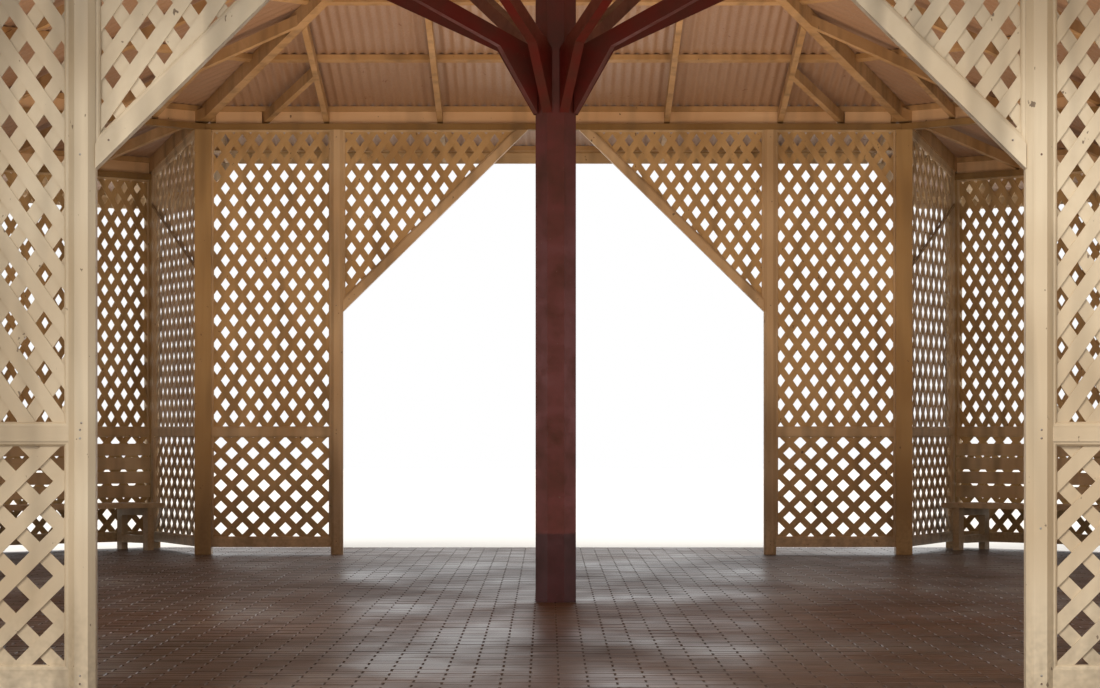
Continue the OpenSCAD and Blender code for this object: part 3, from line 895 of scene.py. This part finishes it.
@dataclass
class PanelBeads:
    """The thin beads that hold every lattice panel in its frame, on both faces."""

    wide: float = 0.017
    thick: float = 0.013
    gap: float = 0.0004
    bays: int = 3
    section: tuple[Point2, ...] = ((0.0, 0.0), (0.0, 1.0), (0.55, 0.92), (0.88, 0.55), (1.0, 0.0))

    def entry_panels(self) -> list[Panel]:
        """The panels of the four entries. Returns them."""
        p = PLAN
        run = p.entry_width / 2 - p.brace_head / 2
        rise = p.head - p.brace_spring
        long = math.hypot(run, rise)
        up, along = p.brace_face * long / run, p.brace_face * long / rise
        shapes = (
            oblong(p.side_in, p.side_out, p.rail_top, p.mid_low),
            oblong(p.side_in, p.side_out, p.mid_high, p.head),
            [
                (p.brace_head / 2 + along, p.head),
                (p.entry_width / 2, p.brace_spring + up),
                (p.entry_width / 2, p.head),
            ],
        )
        return [
            Panel(tuple(shape), side_place(2 * number) @ flip, p.inner)
            for number in range(4)
            for flip in (Matrix.Identity(4), MIRROR)
            for shape in shapes
        ]

    def wall_panels(self) -> list[Panel]:
        """The panels of the four alcove walls. Returns them."""
        p = PLAN
        step = (2 * p.wall_end + p.stud) / self.bays
        found = []
        for number in range(4):
            place = side_place(2 * number + 1)
            for i in range(self.bays):
                x0 = -p.wall_end + i * step
                x1 = x0 + step - p.stud
                for z0, z1 in ((p.rail_top, p.mid_low), (p.mid_high, p.outer_head)):
                    found.append(Panel(tuple(oblong(x0, x1, z0, z1)), place, p.outer))
        return found

    def return_panels(self) -> list[Panel]:
        """The panels of the eight return walls. Returns them."""
        p = PLAN
        skew = TAN_HALF * p.rail / 2
        inner_r = p.inner / COS_HALF
        x0 = p.corner_post / 2 / COS_HALF + skew + p.stile
        x1 = p.outer / COS_HALF - inner_r - p.outer_post / 2 / COS_HALF - skew - p.stile
        z0, z1 = (p.hip_z(inner_r + x) - p.plate for x in (x0, x1))
        upper = [(x0, p.mid_high), (x1, p.mid_high), (x1, z1), (x0, z0)]
        shapes = (oblong(x0, x1, p.rail_top, p.mid_low), upper)
        return [
            Panel(tuple(shape), return_place(number, mirrored), 0.0)
            for number in range(4)
            for mirrored in (False, True)
            for shape in shapes
        ]

    def bead(self, maker: MeshMaker, panel: Panel, face: int) -> None:
        """Adds the bead round one face of a panel.

        Args:
            maker: The mesh that it joins.
            panel: The panel.
            face: 1 for the outer face and -1 for the inner face.
        """
        outline = list(panel.outline)
        points = []
        for across, out in self.section:
            y = -panel.away - face * (PLAN.lattice_half + self.thick * out)
            drawn_in = inset_outline(outline, self.wide * across + self.gap)
            points.extend((x, y, z) for x, z in drawn_in)
        faces = ring_faces(len(self.section), len(outline))
        if face < 0:
            faces = [quad[::-1] for quad in faces]
        maker.add(points, faces, panel.place)

    def build(self, paint: bpy.types.Material) -> None:
        """Builds and finishes the beads.

        Args:
            paint: The finish of the beads.
        """
        groups = (
            ("entry_beads", self.entry_panels()),
            ("wall_beads", self.wall_panels()),
            ("return_beads", self.return_panels()),
        )
        for name, panels in groups:
            maker = MeshMaker()
            for panel in panels:
                for face in (1, -1):
                    self.bead(maker, panel, face)
            fit(maker.build(name), "cream_paint", paint)


@dataclass
class Fixings:
    """Nail heads on the entries, the fascia and the benches."""

    head: float = 0.0045
    rise: float = 0.0014
    foot_levels: tuple[float, ...] = (0.08, 0.11)
    rail_edge: float = 0.012
    head_edge: float = 0.06
    jamb_offset: float = 0.004
    brace_low: float = 0.05
    brace_high: float = 0.12
    brace_rise: float = 0.055
    fascia_drops: tuple[float, ...] = (0.05, 0.10)
    board_edge: float = 0.025
    bays: int = 3
    back_boards: int = 4
    clearance: float = 0.0005
    marks: tuple[Point2, ...] = ((-1.774, 1.046), (1.776, 0.656))

    def upright(self, place: Matrix, x: float, y: float, z: float, face: int) -> Matrix:
        """Finds the place of a head on an upright face.

        Args:
            place: The matrix from the side's drawing to the row frame.
            x: The distance along the side.
            y: The distance across it.
            z: The height above the floor.
            face: 1 for the outer face and -1 for the inner face.

        Returns:
            The matrix from the head's drawing to the row frame.
        """
        turn = Matrix.Rotation(math.pi / 2 * face, 4, "X")
        return place @ Matrix.Translation((x, y, z)) @ turn

    def entry_spots(self) -> list[Matrix]:
        """Nails through the jambs and the braces of the four entries. Returns their places."""
        p = PLAN
        slope = (p.head - p.brace_spring) / (p.entry_width / 2 - p.brace_head / 2)
        brace_xs = (p.entry_width / 2 - self.brace_low, p.brace_head / 2 + self.brace_high)
        levels = (
            *self.foot_levels,
            p.mid_low + self.rail_edge,
            p.mid_high - self.rail_edge,
            p.brace_spring + self.brace_low,
            p.head - self.head_edge,
        )
        spots = []
        for number in range(4):
            for flip in (Matrix.Identity(4), MIRROR):
                place = side_place(2 * number) @ flip
                for face in (1, -1):
                    y = -p.inner - face * p.jamb / 2
                    x = p.jamb_x + self.jamb_offset
                    spots.extend(self.upright(place, x, y, z, face) for z in levels)
                    y = -p.inner - face * p.brace_thick / 2
                    for x in brace_xs:
                        z = p.brace_spring + slope * (p.entry_width / 2 - x) + self.brace_rise
                        spots.append(self.upright(place, x, y, z, face))
        y = -p.inner - p.jamb / 2
        spots.extend(self.upright(side_place(0), x, y, z, 1) for x, z in self.marks)
        return spots

    def eave_spots(self) -> list[Matrix]:
        """Nails through the fascia into each rafter. Returns their places."""
        p = PLAN
        spots = []
        for side in range(8):
            r, last = (p.entry_r, 2) if side % 2 == 0 else (p.eave_r, 3)
            place, y = side_place(side), -r - p.fascia_thick
            for i in range(-last, last + 1):
                for drop in self.fascia_drops:
                    z = p.sheet_z(r) - drop
                    spots.append(self.upright(place, i * p.rafter_gap, y, z, 1))
        return spots

    def seat_spots(self, place: Matrix) -> list[Matrix]:
        """Nails down through one seat into its end frames. Returns their places."""
        p = PLAN
        bench_end = p.wall_end - p.seat_deep * TAN_HALF - 2 * p.board_gap
        plank = (p.seat_deep - p.board_gap) / 2
        frames = (bench_end / 3, bench_end - 2 * p.leg)
        spots = []
        for x in (-frames[1], -frames[0], *frames):
            for board in range(2):
                middle = p.bench_back - p.board_gap - plank / 2 - board * (plank + p.board_gap)
                for offset in (-plank / 4, plank / 4):
                    spots.append(place @ Matrix.Translation((x, -middle - offset, p.seat)))
        return spots

    def back_spots(self, place: Matrix) -> list[Matrix]:
        """Nails through the back boards of one bench into the studs. Returns their places."""
        p = PLAN
        stud = p.wall_end - (2 * p.wall_end + p.stud) / self.bays + p.stud / 2
        y = -p.bench_back + p.board / 2 + self.clearance
        spots = []
        for x in (-stud, stud):
            for board in range(self.back_boards):
                low = p.seat + p.board + board * (p.back_board + p.back_gap)
                for z in (low + self.board_edge, low + p.back_board - self.board_edge):
                    spots.append(self.upright(place, x, y, z, -1))
        return spots

    def bench_spots(self) -> list[Matrix]:
        """Nails in the four benches. Returns their places."""
        spots = []
        for number in range(4):
            place = side_place(2 * number + 1)
            spots.extend(self.seat_spots(place) + self.back_spots(place))
        return spots

    def build(self, zinc: bpy.types.Material) -> None:
        """Builds and finishes the nail heads.

        Args:
            zinc: The finish of the heads.
        """
        groups = (
            ("entry_nails", self.entry_spots()),
            ("fascia_nails", self.eave_spots()),
            ("bench_nails", self.bench_spots()),
        )
        for name, spots in groups:
            maker = MeshMaker()
            for place in spots:
                maker.head(place, self.head, self.rise)
            fit(maker.build(name), "cream_paint", zinc)


# The timbers of the frame


@dataclass
class Timbers:
    """Finishes and soft arrises for the nodes of the frame."""

    arris: float = 0.004
    arris_steps: int = 2
    arris_limit: float = math.radians(35)
    uprights: tuple[str, ...] = ("jamb_posts", "wall_studs", "return_stiles", "bench_legs")
    posts: tuple[str, ...] = ("corner_posts", "outer_posts")
    rails: tuple[str, ...] = ("entry_rails", "wall_rails", "return_rails", "fascia")
    benches: tuple[str, ...] = ("bench_seats", "bench_backs")
    rafters: tuple[str, ...] = ("hip_rafters", "entry_rafters", "alcove_rafters", "jack_rafters")
    purlins: tuple[str, ...] = ("purlins",)
    # The blocks take a paint with painted light. The plates, the straps and the posts take paints
    # with painted shade.
    blocks: tuple[str, ...] = ("plate_blocks",)
    plates: tuple[str, ...] = ("top_plates", "return_straps")
    slanted: tuple[str, ...] = ("entry_braces",)
    iron: tuple[str, ...] = ("centre_post", "post_struts")
    metal: tuple[str, ...] = ("roof_caps",)

    def dress(
        self, names: tuple[str, ...], material: bpy.types.Material, rounded: bool = True
    ) -> None:
        """Gives nodes of the frame their finish.

        Args:
            names: The nodes.
            material: The finish.
            rounded: Whether their arrises are taken off.
        """
        for name in names:
            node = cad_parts[name]
            for holder in node.material_slots:
                holder.material = material
            if not node.material_slots:
                node.data.materials.append(material)
            if rounded:
                soft = node.modifiers.new("soft_arrises", "BEVEL")
                soft.width = self.arris
                soft.segments = self.arris_steps
                soft.limit_method = "ANGLE"
                soft.angle_limit = self.arris_limit
            LOG.info("%s: %s", name, material.name)


# The studio


@dataclass
class Studio:
    """A pale floor, soft lamps and the camera."""

    lens: float = 101.06
    eye: Point3 = (-0.049, -18.405, 1.12)
    shift: Point2 = (0.00227, 0.0782)
    sky: float = 0.77
    sun: float = 2.15
    sun_angle: float = 0.4
    daylight: Colour = (1.0, 0.955, 0.88)
    lamplight: Colour = (1.0, 0.66, 0.38)
    back_share: float = 0.6
    key_turn: Point3 = (55, 0, -32)
    back_turn: Point3 = (48, 0, 150)
    inside: float = 330.0
    hall_share: float = 0.22
    ground_half: float = 70.0

    def ground(self) -> None:
        """Lays the pale floor of the studio."""
        s = Shader("studio_floor")
        fine = s.noise(14.0, detail=3.0)
        colour = s.mix(s.ramp(fine, 0.3, 0.7), (0.80, 0.79, 0.77), (0.84, 0.83, 0.81))
        material = s.finish(colour, 0.85, s.bump(fine, 0.1, 0.001))
        maker = MeshMaker()
        corners = oblong(-self.ground_half, self.ground_half, -self.ground_half, self.ground_half)
        maker.add([(x, y, 0.0) for x, y in corners], [(0, 1, 2, 3)])
        plane = maker.build("studio_floor")
        plane.data.materials.append(material)

    def world(self) -> None:
        """Sets an even light from all round and a white view past the building."""
        world = bpy.data.worlds.new("studio")
        world.use_nodes = True
        tree = world.node_tree
        tree.nodes.clear()
        light = tree.nodes.new("ShaderNodeBackground")
        light.inputs["Color"].default_value = (1.0, 0.98, 0.95, 1.0)
        light.inputs["Strength"].default_value = self.sky
        white = tree.nodes.new("ShaderNodeBackground")
        white.inputs["Color"].default_value = (1.0, 1.0, 1.0, 1.0)
        white.inputs["Strength"].default_value = 1.0
        path = tree.nodes.new("ShaderNodeLightPath")
        total = path.outputs["Is Camera Ray"]
        for ray in ("Is Glossy Ray", "Is Transmission Ray"):
            both = tree.nodes.new("ShaderNodeMath")
            both.operation = "MAXIMUM"
            tree.links.new(total, both.inputs[0])
            tree.links.new(path.outputs[ray], both.inputs[1])
            total = both.outputs["Value"]
        mix = tree.nodes.new("ShaderNodeMixShader")
        tree.links.new(total, mix.inputs["Fac"])
        tree.links.new(light.outputs["Background"], mix.inputs[1])
        tree.links.new(white.outputs["Background"], mix.inputs[2])
        out = tree.nodes.new("ShaderNodeOutputWorld")
        tree.links.new(mix.outputs["Shader"], out.inputs["Surface"])
        bpy.context.scene.world = world

    def lamp(self, kind: str, name: str, strength: float, turn: Point3) -> bpy.types.Object:
        """Adds one soft lamp.

        Args:
            kind: The sort of lamp, SUN or AREA.
            name: The lamp's name.
            strength: Its strength, or its power in watts.
            turn: Its turn about X, Y and Z, in degrees.

        Returns:
            The lamp.
        """
        data = bpy.data.lights.new(name, kind)
        data.energy = strength
        made = bpy.data.objects.new(name, data)
        made.rotation_euler = [math.radians(a) for a in turn]
        bpy.context.scene.collection.objects.link(made)
        return made

    def suns(self) -> None:
        """Adds the two lamps of even light."""
        lamps = (("key", 1.0, self.key_turn), ("back", self.back_share, self.back_turn))
        for name, share, turn in lamps:
            made = self.lamp("SUN", name, self.sun * share, turn)
            made.data.angle = self.sun_angle
            made.data.color = self.daylight

    def panel(self, name: str, power: float, at: Point3, turn: Point3, size: Point2) -> None:
        """Adds one broad soft lamp that isn't seen itself.

        Args:
            name: The lamp's name.
            power: Its power in watts.
            at: Its place.
            turn: Its turn about X, Y and Z, in degrees.
            size: Its width and height.
        """
        made = self.lamp("AREA", name, power, turn)
        made.data.shape = "RECTANGLE"
        made.data.size, made.data.size_y = size
        made.data.color = self.lamplight
        made.location = at
        made.visible_camera = False
        made.visible_glossy = False

    def camera(self) -> None:
        """Sets the camera where the photo was taken."""
        data = bpy.data.cameras.new("camera")
        data.lens = self.lens
        data.sensor_width = 36.0
        data.sensor_fit = "HORIZONTAL"
        data.shift_x, data.shift_y = self.shift
        data.clip_start = 0.1
        data.clip_end = 400.0
        made = bpy.data.objects.new("camera", data)
        made.location = self.eye
        made.rotation_euler = (math.radians(90), 0.0, 0.0)
        bpy.context.scene.collection.objects.link(made)
        bpy.context.scene.camera = made

    def build(self) -> None:
        """Sets up the whole studio."""
        self.ground()
        self.world()
        self.suns()
        self.panel("roof_light", self.inside, (0.0, 0.5, 0.5), (180, 0, 0), (9.0, 9.0))
        hall = self.inside * self.hall_share
        self.panel("hall_light", hall, (0.0, -3.0, 2.4), (75, 0, 0), (8.0, 2.4))
        self.camera()
        bpy.context.scene.view_settings.view_transform = "Standard"


# The whole


def main() -> None:
    """Builds the bandstand's looks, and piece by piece."""
    logging.basicConfig(level=logging.INFO, format="%(name)s: %(message)s")
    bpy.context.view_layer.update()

    upright = PaintedTimber("cream_paint_upright", grain=Grain.UPRIGHT).material()
    level = PaintedTimber("cream_paint_level", grain=Grain.LEVEL).material()
    slats = PaintedTimber("cream_paint_slats", grain=Grain.MIXED).material()
    # Painted shade: a darker, more saturated copy of the slat paint for the lattices away from the
    # front entry and the returns. It stands in for the shade inside the bandstand.
    painted_shade_slats = PaintedTimber(
        "cream_paint_painted_shade",
        tint=(0.64, 0.485, 0.275),
        aged=(0.48, 0.335, 0.17),
        grain=Grain.MIXED,
    ).material()
    # Painted shade: a darker copy of the cream paint on the corner and outer posts. It stands in
    # for the shade on their inner faces.
    painted_shade_posts = PaintedTimber(
        "cream_paint_posts_painted_shade",
        tint=(0.52, 0.385, 0.205),
        aged=(0.40, 0.275, 0.13),
    ).material()
    old = PaintedTimber(
        "roof_timber_paint",
        tint=(0.58, 0.41, 0.24),
        aged=(0.43, 0.28, 0.14),
        chips=0.27,
        roughness=0.6,
        grain=Grain.MIXED,
    ).material()
    # Painted light: a paler, warmer copy of the cream paint on the plate blocks. It stands in for
    # light thrown up onto them from outside.
    pale = PaintedTimber(
        "block_paint_painted_light",
        tint=(0.80, 0.62, 0.44),
        aged=(0.66, 0.47, 0.30),
        dirt=0.25,
        roughness=0.5,
        grain=Grain.LEVEL,
    ).material()
    # Painted shade: a dark brown copy of the cream paint on the top plates and the return straps.
    # It stands in for the shade under the roof and against the lit lattice.
    painted_shade_plates = PaintedTimber(
        "plate_paint_painted_shade",
        tint=(0.34, 0.235, 0.11),
        aged=(0.24, 0.15, 0.06),
        chips=0.27,
        roughness=0.6,
        grain=Grain.LEVEL,
    ).material()
    metal = RibbedMetal("ribbed_metal").material()
    iron = IronPaint("red_iron_paint").material()
    zinc = ZincFinish("zinc_heads").material()
    brick = BrickFinish("floor_brick").material()
    mortar = MortarFinish("floor_mortar").material()

    timbers = Timbers()
    timbers.dress(timbers.uprights, upright)
    # The posts take the cream paint with painted shade.
    timbers.dress(timbers.posts, painted_shade_posts)
    timbers.dress(timbers.rails + timbers.benches, level)
    timbers.dress(timbers.slanted, slats)
    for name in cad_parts:
        if name.endswith("_lattice"):
            # The front entry and return lattices take the lit slat paint; every other lattice takes
            # the copy with painted shade.
            lit = name == "front_entry_lattice" or name.endswith("_return_lattice")
            timbers.dress((name,), slats if lit else painted_shade_slats, rounded=False)
    timbers.dress(timbers.rafters + timbers.purlins, old)
    # The plate blocks take the cream paint with painted light.
    timbers.dress(timbers.blocks, pale)
    # The top plates and return straps take the cream paint with painted shade.
    timbers.dress(timbers.plates, painted_shade_plates)
    timbers.dress(timbers.iron, iron)
    timbers.dress(timbers.metal, metal, rounded=False)

    Paving().build(brick, mortar)
    RibbedRoof().build(metal, zinc)
    PanelBeads().build(slats)
    Fixings().build(zinc)
    Studio().build()


if __name__ == "__main__":
    main()
